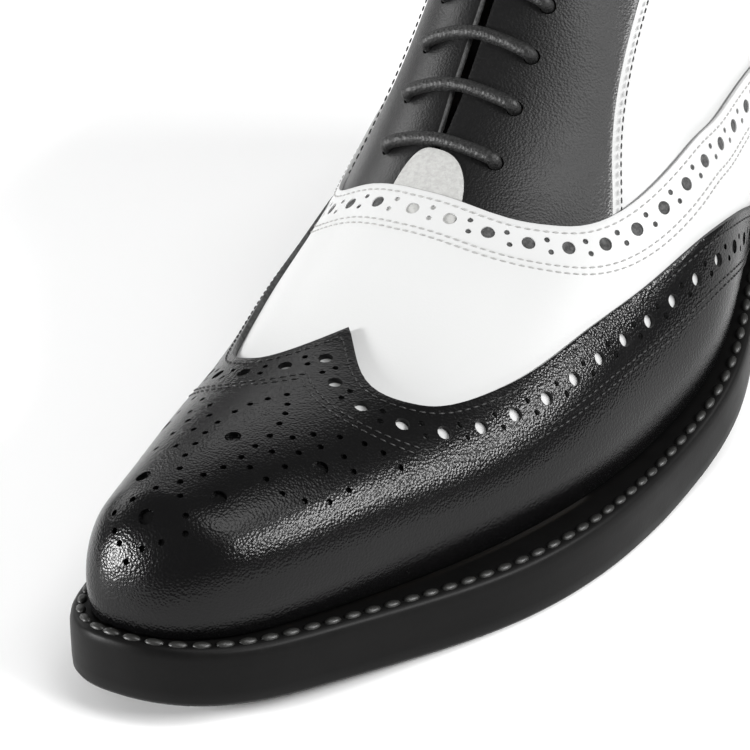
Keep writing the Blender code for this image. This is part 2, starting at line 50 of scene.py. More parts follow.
lastRows = (
    (0, 16.5, 24.0, 21.0, 1.0, 0.35, 0.60, 0.62, 0.62),
    (25, 15.5, 28.0, 27.3, 5.0, 0.33, 0.60, 0.62, 0.62),
    (50, 21.5, 36.0, 31.3, 6.0, 0.30, 0.57, 0.60, 0.60),
    (75, 27.0, 44.0, 35.2, 5.0, 0.26, 0.54, 0.57, 0.58),
    (100, 31.5, 49.0, 46.0, 2.0, 0.22, 0.50, 0.53, 0.53),
    (125, 34.5, 51.0, 59.0, -2.0, 0.19, 0.46, 0.49, 0.47),
    (150, 36.0, 51.0, 76.0, -4.5, 0.17, 0.42, 0.52, 0.42),
    (175, 35.5, 44.0, 92.5, -5.5, 0.155, 0.39, 0.55, 0.38),
    (200, 30.5, 39.5, 101.5, -3.0, 0.145, 0.37, 0.40, 0.34),
    (230, 30.5, 36.5, 107.0, -1.0, 0.135, 0.36, 0.32, 0.32),
    (255, 32.5, 35.0, 110.0, 0.0, 0.13, 0.36, 0.30, 0.30),
)
groundRows = ((-10, 7.3), (0, 5.0), (25, 2.6), (50, 0.8), (75, 0.1), (90, 0.0), (112, 0.0), (130, 2.0),
              (150, 7.3), (175, 15.3), (200, 22.0), (225, 25.2), (250, 26.2), (300, 26.7))
heelBackRows = ((0, 31.5), (10, 33.0), (20, 33.5), (35, 32.5), (50, 30.0), (62, 27.5), (75, 25.5))
marginRows = ((0, 5.2), (30, 7.0), (70, 10.5), (110, 8.5), (160, 6.0), (200, 5.5), (250, 4.5), (303, 4.5))
toplineRows = ((172, 91.0), (176, 83.5), (183, 75.0), (193, 65.5), (207, 56.5), (225, 51.0), (245, 50.0),
               (265, 53.0), (285, 59.0), (303, 62.0))
# Pattern lines: share of the half section from the feather line to the ridge, and station there
wingRows = {1: ((0.0, 204), (0.1, 190), (0.2, 175), (0.316, 156), (0.397, 138), (0.441, 123.5), (0.485, 108.5),
                (0.516, 95), (0.566, 81), (0.632, 69.3), (0.70, 64.3), (0.80, 62.0), (0.90, 65.7), (1.0, 76.0)),
            -1: ((0.0, 200), (0.1, 186), (0.2, 170), (0.30, 152), (0.38, 134), (0.43, 118), (0.46, 103),
                 (0.49, 90), (0.55, 74), (0.628, 66.5), (0.70, 64.0), (0.80, 63.3), (0.90, 68.0), (1.0, 76.0))}
bandRows = {1: ((0.0, 340), (0.2, 272), (0.27, 245), (0.32, 217), (0.368, 185), (0.454, 159), (0.539, 137),
                (0.574, 130), (0.616, 124.2), (0.678, 119), (0.761, 114.5), (0.883, 112), (1.0, 111.3)),
            -1: ((0.0, 340), (0.2, 270), (0.27, 240), (0.32, 208), (0.36, 180), (0.43, 152), (0.517, 128.7),
                 (0.58, 121), (0.66, 116.5), (0.76, 114), (0.84, 112.8), (0.92, 111.8), (1.0, 111.3))}
eyestayRearRows = {1: ((120, 0.52), (130, 0.571), (137.4, 0.620), (144, 0.649), (150, 0.661), (164, 0.661),
                       (180, 0.655)),
                   -1: ((120, 0.49), (130, 0.54), (137.4, 0.60), (144, 0.635), (150, 0.65), (164, 0.655),
                        (180, 0.65))}
counterRows = ((0.0, 212), (0.09, 220), (0.18, 230), (0.27, 241), (0.36, 254), (0.45, 268), (0.50, 277))


def smooth(rows, column=1):  # natural cubic curve through a table's column over its first one
    xs = np.array([row[0] for row in rows], float)
    ys = np.array([row[column] for row in rows], float)
    steps, count = np.diff(xs), len(xs)
    system, wanted = np.eye(count), np.zeros(count)
    for i in range(1, count - 1):
        system[i, i - 1:i + 2] = steps[i - 1], 2 * (steps[i - 1] + steps[i]), steps[i]
        wanted[i] = 6 * ((ys[i + 1] - ys[i]) / steps[i] - (ys[i] - ys[i - 1]) / steps[i - 1])
    bend = np.linalg.solve(system, wanted)

    def value(x):
        x = np.clip(np.asarray(x, float), xs[0], xs[-1])
        i = np.clip(np.searchsorted(xs, x) - 1, 0, count - 2)
        u = x - xs[i]
        slope = (ys[i + 1] - ys[i]) / steps[i] - steps[i] * (2 * bend[i] + bend[i + 1]) / 6
        return ys[i] + slope * u + bend[i] * u**2 / 2 + (bend[i + 1] - bend[i]) * u**3 / (6 * steps[i])

    return value


last = {name: smooth(lastRows, i) for i, name in enumerate(lastNames) if i}
groundLine, heelBack, marginLine, topline = map(smooth, (groundRows, heelBackRows, marginRows, toplineRows))
wingEdge = {side: smooth(rows) for side, rows in wingRows.items()}
bandLine = {side: smooth(rows) for side, rows in bandRows.items()}
eyestayRear = {side: smooth(rows) for side, rows in eyestayRearRows.items()}
counterEdge = smooth(counterRows)
soleTop = lastSizes["outsole"] + lastSizes["welt"]
heelEnd = lastSizes["heelFrom"] + lastSizes["heelSpan"]  # station at the back of the heel
quarterFrom = 100.0  # quarters and facings start here, hidden under the vamp


def ground(at):
    at = np.asarray(at, float)
    level = (at > lastSizes["flat"][0]) & (at < lastSizes["flat"][1])
    return np.where(level, 0.0, np.maximum(groundLine(at), 0.0))


def rounding(at, reach, power):
    return np.clip(1 - np.clip(1 - np.asarray(at, float) / reach, 0, 1)**power, 0, 1)**(1 / power)


def bezier(a, p0, p1, p2, p3):
    b = 1 - a
    return b**3 * p0 + 3 * b * b * a * p1 + 3 * b * a * a * p2 + a**3 * p3


def halfSection(at, share, side):
    at, share = np.asarray(at, float), np.asarray(share, float)
    station = np.clip(at, 0, lastSizes["heelFrom"])
    toe = rounding(station, *lastSizes["toeRound"])
    width = np.where(side > 0, last["outer"](station), last["inner"](station)) * toe
    crown = np.where(side > 0, last["crownOut"](station), last["crownIn"](station))
    height = last["height"](station) * rounding(station, *lastSizes["topRound"])
    ridge = last["ridge"](station) * rounding(station, *lastSizes["ridgeRound"])
    widest = width + lastSizes["tuck"] * toe - side * ridge
    level = last["level"](station) * height
    low = lastSizes["wallShare"]
    upper, lower = np.clip((share - low) / (1 - low), 0, 1), np.clip(share / low, 0, 1)
    out = bezier(upper, widest, widest, crown * widest, 0 * widest) - lastSizes["tuck"] * toe * (1 - lower)**2
    rise = bezier(upper, level, level + last["wall"](station) * (height - level), height, height)
    rise = np.where(share < low, level * lower, rise)
    turn = np.clip((at - lastSizes["heelFrom"]) / lastSizes["heelSpan"], 0, 1) * math.pi / 2
    power = 2 / lastSizes["heelPower"]
    return (ridge + side * out * np.clip(np.cos(turn), 0, 1)**power,
            station + heelBack(rise) * np.sin(turn)**power, rise)


def overFloor(at, share, side):
    x, y, rise = halfSection(at, share, side)
    return np.stack([x, y, rise + ground(y) + soleTop], -1)


def skin(at, u, lift=0.0, normals=False):  # point over the last; u runs from -1, inner edge, over the ridge to 1
    at, u = np.broadcast_arrays(np.asarray(at, float), np.asarray(u, float))
    side, share = np.where(u >= 0, 1.0, -1.0), 1 - np.abs(u)
    clear = np.maximum(at, 0.05)
    along = overFloor(clear + 0.2, share, side) - overFloor(np.maximum(clear - 0.2, 0.02), share, side)
    up = (overFloor(clear, np.clip(share + 0.01, 0, 1), side)
          - overFloor(clear, np.clip(share - 0.01, 0, 1), side)) * side[..., None]
    across = overFloor(clear, 0.985, -1.0 + 0 * side) - overFloor(clear, 0.985, 1.0 + 0 * side)
    nearRidge = np.clip((share - 0.985) / 0.015, 0, 1)[..., None]
    length = np.linalg.norm(across, axis=-1, keepdims=True) + 1e-9
    up = up / (np.linalg.norm(up, axis=-1, keepdims=True) + 1e-9) * (1 - nearRidge) + across / length * nearRidge
    normal = np.cross(along, up)
    normal[at >= heelEnd, 0] = 0.0
    normal[at <= 0.0] = (0.0, -1.0, 0.0)
    normal /= np.linalg.norm(normal, axis=-1, keepdims=True) + 1e-12
    points = overFloor(at, share, side) + normal * np.asarray(lift, float)[..., None]
    points[..., 2] = np.maximum(points[..., 2], ground(points[..., 1]) + soleTop + 0.2)
    points -= (*lastSizes["middle"], 0.0)
    return (points, normal) if normals else points


def shifted(path, distance):  # path of (at, u) moved over the leather by a distance to its left
    path = np.array(path, float)
    steps = max(int(abs(distance) / 0.8), 1)
    for _ in range(steps):
        here, normal = skin(path[:, 0], path[:, 1], 0.0, True)
        run = np.gradient(here, axis=0)
        run /= np.linalg.norm(run, axis=1)[:, None] + 1e-9
        push = np.cross(normal, run) * distance / steps
        byAt = (skin(path[:, 0] + 0.2, path[:, 1]) - here) / 0.2
        byU = (skin(path[:, 0], path[:, 1] + 0.004) - here) / 0.004
        a, b, c = (byAt**2).sum(1), (byAt * byU).sum(1), (byU**2).sum(1)
        p, q = (byAt * push).sum(1), (byU * push).sum(1)
        det = a * c - b * b + 1e-9
        path[:, 0] += (c * p - b * q) / det
        path[:, 1] += (a * q - b * p) / det
    return path


def evenly(path, pitch, start=0.0):  # (at, u) every pitch millimetres along a path
    points = skin(path[:, 0], path[:, 1])
    run = np.concatenate([[0], np.cumsum(np.linalg.norm(np.diff(points, axis=0), axis=1))])
    marks = np.arange(start, run[-1], pitch)
    return np.column_stack([np.interp(marks, run, path[:, 0]), np.interp(marks, run, path[:, 1])])


@functools.cache
def ridgeShare(at, reach):  # u at a distance round the section from the ridge, signed
    us = np.linspace(0, 0.75, 240) * (1 if reach >= 0 else -1)
    points = skin(np.full(240, at), us)
    run = np.concatenate([[0], np.cumsum(np.linalg.norm(np.diff(points, axis=0), axis=1))])
    return float(np.interp(abs(reach), run, us))


# Edges of the leather pieces. Lifts are the outer faces' heights over the last, walls the thicknesses.
pattern = {
    "wingLift": 0.9, "wingWall": 1.2, "vampLift": -0.3, "vampWall": 0.9, "eyestayLift": -1.15, "eyestayWall": 1.9,
    "quarterLift": -1.95, "quarterWall": 1.7, "counterLift": 0.25, "counterWall": 1.2,
    "tabHalf": 9.8, "throatGap": 1.4,
}


def wingEnd(u):
    return np.where(u >= 0, wingEdge[1](1 - np.abs(u)), wingEdge[-1](1 - np.abs(u)))


def bandEnd(u):
    at = np.where(u >= 0, bandLine[1](1 - np.abs(u)), bandLine[-1](1 - np.abs(u)))
    return np.minimum(at, counterEdge(1 - np.abs(u)) + 6)


def bandRow(u):  # the band's own line, also where the counter covers it
    return np.where(u >= 0, bandLine[1](1 - np.abs(u)), bandLine[-1](1 - np.abs(u))).clip(0, 302.0)


def beforeCounter(path, gap=1.5):
    return path[path[:, 0] < counterEdge(1 - np.abs(path[:, 1])) - gap]


tabEdge = ridgeShare(116.0, pattern["tabHalf"])  # u of the tab's side at the band


def byLength(path, steps):  # even spread of a parameter along a path's length
    points = skin(path[:, 0], path[:, 1])
    run = np.concatenate([[0], np.cumsum(np.linalg.norm(np.diff(points, axis=0), axis=1) + 1e-6)])
    return lambda p: np.interp(p * run[-1], run, path[:, steps])


def inFront(edge, distance, low=-0.97, high=0.97, count=700):  # path (at, u) that keeps a distance from an edge
    us = np.linspace(-1, 1, 2000)
    rim = skin(edge(us), us)
    inside = us[(us >= low) & (us <= high)]
    columns = byLength(np.column_stack([edge(inside), inside]), 1)(np.linspace(0, 1, count))
    back = edge(columns)
    front = np.maximum(back - 95.0, 0.3)
    for _ in range(14):
        middle = (front + back) / 2
        points = skin(middle, columns)
        gaps = np.concatenate([np.linalg.norm(block[:, None] - rim[None], axis=-1).min(1)
                               for block in np.array_split(points, 7)])
        front, back = np.where(gaps > distance, middle, front), np.where(gaps > distance, back, middle)
    return np.column_stack([(front + back) / 2, columns])


@functools.cache
def openingShare(at, side):
    if at <= lastSizes["facingTop"]:
        part = min(max((at - lastSizes["throatFoot"]) / 20, 0), 1)
        return 1 - abs(ridgeShare(at, side * (0.2 + pattern["throatGap"] * part)))
    shares = np.linspace(0.18, 1, 500)
    rise = halfSection(np.full(500, at), shares, side)[2]
    return float(np.interp(topline(at), rise, shares))


# Meshes made from the last: sheets, holes and stitches
def newPiece(name, shape, *materials):
    mesh = bpy.data.meshes.new(name)
    shape.to_mesh(mesh)
    shape.free()
    piece = bpy.data.objects.new(name, mesh)
    bpy.context.scene.collection.objects.link(piece)
    for material in materials:
        mesh.materials.append(material)
    mesh.shade_smooth()
    return piece


def sheetOf(name, count, follow, materials):
    shape = bmesh.new()
    bmesh.ops.create_grid(shape, x_segments=count[0], y_segments=count[1], size=0.5)
    spots = np.array([v.co for v in shape.verts])
    places = follow(np.clip(spots[:, 0] + 0.5, 0, 1), np.clip(spots[:, 1] + 0.5, 0, 1))
    for vert, place in zip(shape.verts, places):
        vert.co = Vector(place) * mm
    bmesh.ops.remove_doubles(shape, verts=shape.verts, dist=0.02 * mm)
    return newPiece(name, shape, *materials)


def thicken(piece, wall, edge=0.25, inner=0, rim=0):
    solid = piece.modifiers.new("wall", "SOLIDIFY")
    solid.thickness = wall * mm
    solid.offset = -1
    solid.material_offset = inner
    solid.material_offset_rim = rim
    rounded = piece.modifiers.new("cut edge", "BEVEL")
    rounded.width = edge * mm
    rounded.segments = 2
    rounded.limit_method = "ANGLE"
    rounded.angle_limit = math.radians(50)
    applyAll(piece)


def applyAll(piece):
    graph = bpy.context.evaluated_depsgraph_get()
    mesh = bpy.data.meshes.new_from_object(piece.evaluated_get(graph))
    piece.modifiers.clear()
    piece.data = mesh
    mesh.shade_smooth()


def frameAt(at, u, lift):  # place on the leather, with Z out of it and X towards the heel
    here, normal = skin(np.array([at]), np.array([u]), lift, True)
    ahead = skin(np.array([at + 0.5]), np.array([u]), lift)[0] - here[0]
    z = Vector(normal[0]).normalized()
    y = z.cross(Vector(ahead)).normalized()
    x = y.cross(z)
    turn = Matrix((x, y, z)).transposed().to_4x4()
    return Matrix.Translation(Vector(here[0]) * mm) @ turn


def punch(piece, shallow, lift, depths, through=()):  # holes are rows of at, u, diameter
    shape = bmesh.new()
    for at, u, across, depth in [(*row, depths[0]) for row in shallow] + [(*row, depths[1]) for row in through]:
        bmesh.ops.create_cone(shape, cap_ends=True, segments=16 if across > 2 else 10, radius1=across / 2 * mm,
                              radius2=across / 2 * mm, depth=depth * mm, matrix=frameAt(at, u, lift))
    cutter = newPiece(piece.name + "Punch", shape)
    cut = piece.modifiers.new("punched", "BOOLEAN")
    cut.operation, cut.solver, cut.object = "DIFFERENCE", "EXACT", cutter
    applyAll(piece)
    bpy.data.objects.remove(cutter)
    piece.data.set_sharp_from_angle(angle=math.radians(50))


def bead(rounds, rings):  # unit bead that each stitch copies
    shape = bmesh.new()
    bmesh.ops.create_uvsphere(shape, u_segments=rounds, v_segments=rings, radius=0.5 * mm)
    mesh = bpy.data.meshes.new("bead")
    shape.to_mesh(mesh)
    shape.free()
    return mesh


def scatter(name, model, places, material):  # one piece from copies of a small mesh
    shape = bmesh.new()
    for place in places:
        copy = model.copy()
        copy.transform(place)
        shape.from_mesh(copy)
        bpy.data.meshes.remove(copy)
    return newPiece(name, shape, material)


def stitches(name, paths, material, lift, length=1.5, pitch=2.0, thick=0.42):
    places = []
    for path in paths:
        spots = evenly(np.array(path), pitch)
        if len(spots) < 2:
            continue
        ends = skin(spots[:, 0], spots[:, 1], lift)
        _, normals = skin(spots[:, 0], spots[:, 1], lift, True)
        for here, there, normal in zip(ends, ends[1:], normals):
            x = Vector(there - here).normalized()
            z = Vector(normal).normalized()
            y = z.cross(x).normalized()
            turn = Matrix((y, x.cross(y), x)).transposed().to_4x4()
            places.append(Matrix.Translation(Vector(here + (there - here) * 0.5) * mm) @ turn
                          @ Matrix.Diagonal((thick, thick, length, 1)))
    return scatter(name, bead(6, 4), places, material)


def finish(piece, slot, *nodes):
    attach(piece, "root")
    if nodes:
        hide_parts(*nodes)
    print("made", piece.name, len(piece.data.polygons))


# Materials
class Wire:
    def __init__(self, look, socket):
        self.look, self.socket = look, socket

    def sum(self, kind, *others):
        return self.look.add("ShaderNodeMath", {"operation": kind}, self, *others)

    def __add__(self, other): return self.sum("ADD", other)
    __radd__ = __add__
    def __mul__(self, other): return self.sum("MULTIPLY", other)
    __rmul__ = __mul__
    def __sub__(self, other): return self.sum("SUBTRACT", other)
    def __rsub__(self, other): return self.look.add("ShaderNodeMath", {"operation": "SUBTRACT"}, other, self)
    def ramp(self, low, high, start=0.0, end=1.0):
        return self.look.add("ShaderNodeMapRange", {"interpolation_type": "SMOOTHSTEP"}, self, low, high, start, end)


class Look:
    def __init__(self, name, **fixed):
        self.material = bpy.data.materials.new(name)
        self.material.use_nodes = True
        self.tree = self.material.node_tree
        self.shader = self.tree.nodes["Principled BSDF"]
        for socket, value in fixed.items():
            self.shader.inputs[socket.replace("_", " ")].default_value = value
        self.where = self.add("ShaderNodeTexCoord", {}, output="Object")

    def add(self, kind, settings, *values, output=0, **named):
        node = self.tree.nodes.new(kind)
        for key, value in settings.items():
            setattr(node, key, value)
        for key, value in [*enumerate(values), *named.items()]:
            socket = node.inputs[key.replace("_", " ") if isinstance(key, str) else key]
            if isinstance(value, Wire):
                self.tree.links.new(value.socket, socket)
            else:
                socket.default_value = value
        return Wire(self, node.outputs[output])

    def noise(self, scale, detail=3.0, rough=0.5):
        return self.add("ShaderNodeTexNoise", {}, Vector=self.where, Scale=scale, Detail=detail, Roughness=rough)

    def cells(self, scale):
        return self.add("ShaderNodeTexVoronoi", {}, Vector=self.where, Scale=scale, output="Distance")

    def mix(self, factor, a, b):
        node = self.tree.nodes.new("ShaderNodeMix")
        node.data_type = "RGBA"
        for socket, value in zip((node.inputs[0], node.inputs[6], node.inputs[7]), (factor, a, b)):
            if isinstance(value, Wire):
                self.tree.links.new(value.socket, socket)
            else:
                socket.default_value = value if isinstance(value, (int, float)) else (*value, 1)
        return Wire(self, node.outputs[2])

    def put(self, name, wire):
        self.tree.links.new(wire.socket, self.shader.inputs[name])

    def bump(self, height, strength, distance):
        self.put("Normal", self.add("ShaderNodeBump", {}, Strength=strength, Distance=distance, Height=height))


def blackLeather(name, grain, rough, gloss=0.26):
    look = Look(name, Specular_IOR_Level=gloss)
    pebble = look.cells(1900.0)
    fine = look.noise(3600.0, 3.0, 0.6)
    broad = look.noise(28.0, 3.0)
    worn = look.noise(120.0, 4.0, 0.6).ramp(0.35, 0.75)
    look.put("Base Color", look.mix(broad, (0.0014, 0.0014, 0.0016), (0.0034, 0.0033, 0.0034)))
    look.put("Roughness", rough + (broad - 0.5) * 0.10 + pebble * 0.10 + worn * 0.03)
    look.bump(pebble + fine * 0.25, grain, 0.00012)
    return look.material


def whiteLeather(name):
    look = Look(name, Specular_IOR_Level=0.45)
    broad = look.noise(24.0, 3.0)
    pores = look.cells(1500.0) + look.noise(3200.0, 2.0) * 0.4
    look.put("Base Color", look.mix(broad, (0.485, 0.488, 0.486), (0.525, 0.528, 0.526)))
    look.put("Roughness", 0.46 + (broad - 0.5) * 0.1)
    look.bump(pores, 0.10, 0.0001)
    return look.material


def suedeLook(name, dark=(0.33, 0.33, 0.321), pale=(0.41, 0.41, 0.40)):
    look = Look(name, Specular_IOR_Level=0.2)
    nap = look.noise(900.0, 4.0, 0.7)
    look.put("Base Color", look.mix(nap.ramp(0.3, 0.7), dark, pale))
    look.put("Roughness", 0.85 + (nap - 0.5) * 0.1)
    look.bump(nap, 0.6, 0.0003)
    return look.material


def threadLook(name, colour, rough=0.6):
    look = Look(name)
    twist = look.noise(2200.0, 2.0)
    look.put("Base Color", look.mix(twist, colour, tuple(c * 0.7 for c in colour)))
    look.put("Roughness", rough + (twist - 0.5) * 0.2)
    look.bump(twist, 0.3, 0.0001)
    return look.material


def soleLook(name):
    look = Look(name, Specular_IOR_Level=0.10)
    fibre = look.noise(160.0, 4.0, 0.6)
    layers = look.add("ShaderNodeTexWave", {"bands_direction": "Z"}, Vector=look.where, Scale=90.0, Distortion=1.2,
                      Detail=2.0, Detail_Scale=6.0)
    look.put("Base Color", look.mix(fibre, (0.0022, 0.0022, 0.0022), (0.0050, 0.0048, 0.0047)))
    look.put("Roughness", 0.42 + (fibre - 0.5) * 0.16)
    look.bump(layers * 0.3 + look.noise(1400.0, 2.0), 0.18, 0.0001)
    return look.material


def liningLook(name):
    look = Look(name, Specular_IOR_Level=0.3)
    broad = look.noise(40.0, 4.0)
    look.put("Base Color", look.mix(broad, (0.50, 0.37, 0.25), (0.60, 0.46, 0.33)))
    look.put("Roughness", 0.62 + (broad - 0.5) * 0.15)
    look.bump(look.cells(1300.0) + broad, 0.12, 0.0001)
    return look.material


def laceLook(name):
    look = Look(name, Specular_IOR_Level=0.4)
    weave = look.cells(1500.0)
    look.put("Base Color", look.mix(weave, (0.004, 0.004, 0.004), (0.012, 0.012, 0.012)))
    look.put("Roughness", 0.42 + weave * 0.2)
    look.bump(weave, 0.5, 0.00025)
    return look.material


looks = {
    "wing": blackLeather("wingLeather", 0.5, 0.14, 0.21), "facing": blackLeather("facingLeather", 0.4, 0.28, 0.42),
    "counter": blackLeather("counterLeather", 0.5, 0.24, 0.3), "tongue": blackLeather("tongueLeather", 0.3, 0.5),
    "vamp": whiteLeather("vampLeather"), "quarter": whiteLeather("quarterLeather"),
    "lining": liningLook("liningLeather"),
    "blackThread": threadLook("blackThread", (0.008, 0.008, 0.008), 0.45),
    # white thread made grey, darker than the white leather: its own white plus painted shade of the stitch holes and
    # rows
    "whiteThread": threadLook("whiteThread", (0.36, 0.36, 0.35)),
    "sole": soleLook("soleEdge"), "heel": soleLook("heelStack"), "cap": soleLook("heelRubber"),
    "insole": liningLook("insoleLeather"), "lace": laceLook("laceCord"), "tab": suedeLook("tabSuede"),
    # dark grey material of the sheet under the vamp band's holes: painted shade for the depth of the holes
    "paintedHoleShade": suedeLook("bandBacking", (0.03, 0.03, 0.03), (0.10, 0.10, 0.10)),
    "cutEdge": suedeLook("cutEdge", (0.05, 0.05, 0.05), (0.12, 0.12, 0.12)),
    "weltThread": threadLook("weltThread", (0.014, 0.014, 0.013), 0.42),
}


# Quarters, facings and counter
openingAts = np.concatenate([np.linspace(100, 172, 60), 172 + 131 * np.linspace(0, 1, 260)[1:]**1.5])
openingTable = {side: np.array([openingShare(max(a, 112.0), side) if a <= 172 else openingShare(a, side)
                                for a in openingAts]) for side in (1, -1)}


def opening(at, side):
    return np.interp(at, openingAts, openingTable[side])


def edgeSpread(side, start, stop, edge):  # stations spread evenly along an edge's length
    ats = np.linspace(start, stop, 700)
    points = skin(ats, side * (1 - edge(ats)))
    run = np.concatenate([[0], np.cumsum(np.linalg.norm(np.diff(points, axis=0), axis=1))])
    return lambda p: np.interp(p * run[-1], run, ats)


def makeQuarters():
    outer = edgeSpread(1, quarterFrom, heelEnd, lambda a: opening(a, 1))
    inner = edgeSpread(-1, quarterFrom, heelEnd, lambda a: opening(a, -1))

    def follow(p, q):
        front = p < 0.5
        at = np.where(front, outer(np.clip(p * 2, 0, 1)), inner(np.clip(2 - p * 2, 0, 1)))
        share = q * (np.where(front, opening(at, 1), opening(at, -1)) - 0.022 * np.clip((176 - at) / 4, 0, 1))
        return skin(at, np.where(front, 1.0, -1.0) * (1 - share), pattern["quarterLift"])

    piece = sheetOf("quarters", (170, 30), follow, (looks["quarter"], looks["lining"]))
    thicken(piece, pattern["quarterWall"], 0.3, 1)
    return piece


def makeEyestay(side):
    rear = eyestayRear[side]
    ats = np.linspace(172, 230, 500)
    meet = float(ats[np.argmax(opening(ats, side) < rear(ats) + 0.004)])
    spread = edgeSpread(side, quarterFrom, meet, lambda a: opening(a, side))

    def follow(p, q):
        at = spread(q)
        far = p if side < 0 else 1 - p
        low = rear(np.maximum(at, 120.0)) + (0.52 - rear(120.0)) * (at < 120)
        share = low + (np.maximum(opening(at, side), low + 0.002) - low) * far
        return skin(at, side * (1 - share), pattern["eyestayLift"])

    name = "eyestayOuter" if side > 0 else "eyestayInner"
    piece = sheetOf(name, (24, 80), follow, (looks["facing"], looks["cutEdge"]))
    thicken(piece, pattern["eyestayWall"], 0.25, 0, 1)
    return piece, meet


def makeCounter():
    def follow(p, q):
        side = np.where(p < 0.5, 1.0, -1.0)
        at = 262.0 + 0 * q
        for _ in range(25):
            share = q * np.where(side > 0, opening(at, 1), opening(at, -1))
            at = 0.5 * at + 0.5 * counterEdge(share)
        along = np.where(p < 0.5, p * 2, 2 - p * 2)
        at = at + (heelEnd - at) * along
        share = q * np.where(side > 0, opening(at, 1), opening(at, -1))
        return skin(at, side * (1 - share), pattern["counterLift"] - 1.2 * np.clip((q - 0.97) / 0.03, 0, 1))

    piece = sheetOf("heelCounter", (90, 34), follow, (looks["counter"], looks["cutEdge"]))
    thicken(piece, pattern["counterWall"], 0.2, 0, 1)
    return piece


# Vamp, tab and wing cap
tab = {"half": 10.4, "from": 100.0, "to": 120.6, "power": 3.0, "lift": -0.66, "wall": 0.8}
# sheet of painted shade under the band's holes: its height and thickness
paintedHoleShade = {"lift": -0.6, "wall": 0.25}


def makeVamp():
    us = np.linspace(-1, 1, 900)
    spread = byLength(np.column_stack([bandEnd(us), us]), 1)
    under = inFront(wingEnd, 10.0, -0.995, 0.995)

    def follow(p, q):
        u = spread(p)
        front, back = np.interp(u, under[:, 1], under[:, 0]), bandEnd(u)
        return skin(front + (back - front) * q, u, pattern["vampLift"])

    piece = sheetOf("vampLeather", (180, 44), follow, (looks["vamp"],) * 2)
    thicken(piece, pattern["vampWall"], 0.22)
    return piece


def makeWing():
    us = np.linspace(-1, 1, 900)
    spread = byLength(np.column_stack([wingEnd(us), us]), 1)

    def follow(p, q):
        u = 0.55 * spread(p) + 0.45 * (2 * p - 1)
        return skin(wingEnd(u) * q**1.6, u, pattern["wingLift"])

    piece = sheetOf("wingCap", (130, 84), follow, (looks["wing"], looks["cutEdge"]))
    thicken(piece, pattern["wingWall"], 0.2, 0, 1)
    return piece


def makePaintedHoleShade(side):  # dark sheet under the holes of the vamp's band, beside the tab: painted shade that stands for the depth of the holes
    near, far = (beforeCounter(inFront(bandRow, gap, -0.8, 0.8), 3.0) for gap in (2.6, 7.6))
    near, far = (path[path[:, 1] * side > tabEdge + 0.01] for path in (near, far))

    def follow(p, q):
        ends = [np.column_stack([np.interp(p * (len(path) - 1), np.arange(len(path)), path[:, i]) for i in (0, 1)])
                for path in (far, near)]
        spot = ends[0] + (ends[1] - ends[0]) * q[:, None]
        return skin(spot[:, 0], spot[:, 1], paintedHoleShade["lift"])

    piece = sheetOf("bandBackingOuter" if side > 0 else "bandBackingInner", (90, 4), follow, (looks["paintedHoleShade"],) * 2)
    thicken(piece, paintedHoleShade["wall"], 0.05)
    return piece


def makeTab():
    def follow(p, q):
        side = p * 2 - 1
        reach = tab["half"] * np.sign(side) * np.abs(side)
        end = tab["from"] + 8 + (tab["to"] - tab["from"] - 8) * np.clip(1 - np.abs(side)**tab["power"], 0, 1)**(1 / 2.2)
        at = tab["from"] + (end - tab["from"]) * q
        u = np.array([ridgeShare(float(round(a)), 10.0) for a in at]) * reach / 10.0
        return skin(at, u, tab["lift"])

    piece = sheetOf("throatTab", (48, 40), follow, (looks["tab"],) * 2)
    thicken(piece, tab["wall"], 0.2)
    return piece


# Tongue and lace
tongue = {"from": 104.0, "to": 183.0, "wall": 2.0, "front": -4.4, "back": -7.1, "half": (17.0, 22.0)}
laceWay = {"rows": (122.5, 133.0, 142.0, 150.5, 159.0, 167.5), "reach": 14.0, "thick": 3.0, "hole": 3.7,
           "pressed": 0.75}


def makeTongue():
    def follow(p, q):
        at = tongue["from"] + (tongue["to"] - tongue["from"]) * q
        half = tongue["half"][0] + (tongue["half"][1] - tongue["half"][0]) * q
        half = half * np.clip(1 - np.clip((q - 0.86) / 0.14, 0, 1)**2 * 0.25, 0, 1)
        u = np.array([ridgeShare(float(round(a)), 15.0) for a in at]) / 15.0 * half * (p * 2 - 1)
        sunk = np.clip((at - tongue["from"]) / 12, 0, 1)
        return skin(at, u, tongue["front"] + (tongue["back"] - tongue["front"]) * sunk)

    piece = sheetOf("tongueLeather", (30, 60), follow, (looks["tongue"], looks["lining"]))
    thicken(piece, tongue["wall"], 0.6, 1)
    return piece


def lacePoint(row, side, lift, reach):
    at = laceWay["rows"][row]
    return skin(np.array([at]), np.array([ridgeShare(at, side * reach) if reach else 0.0]), lift)[0]


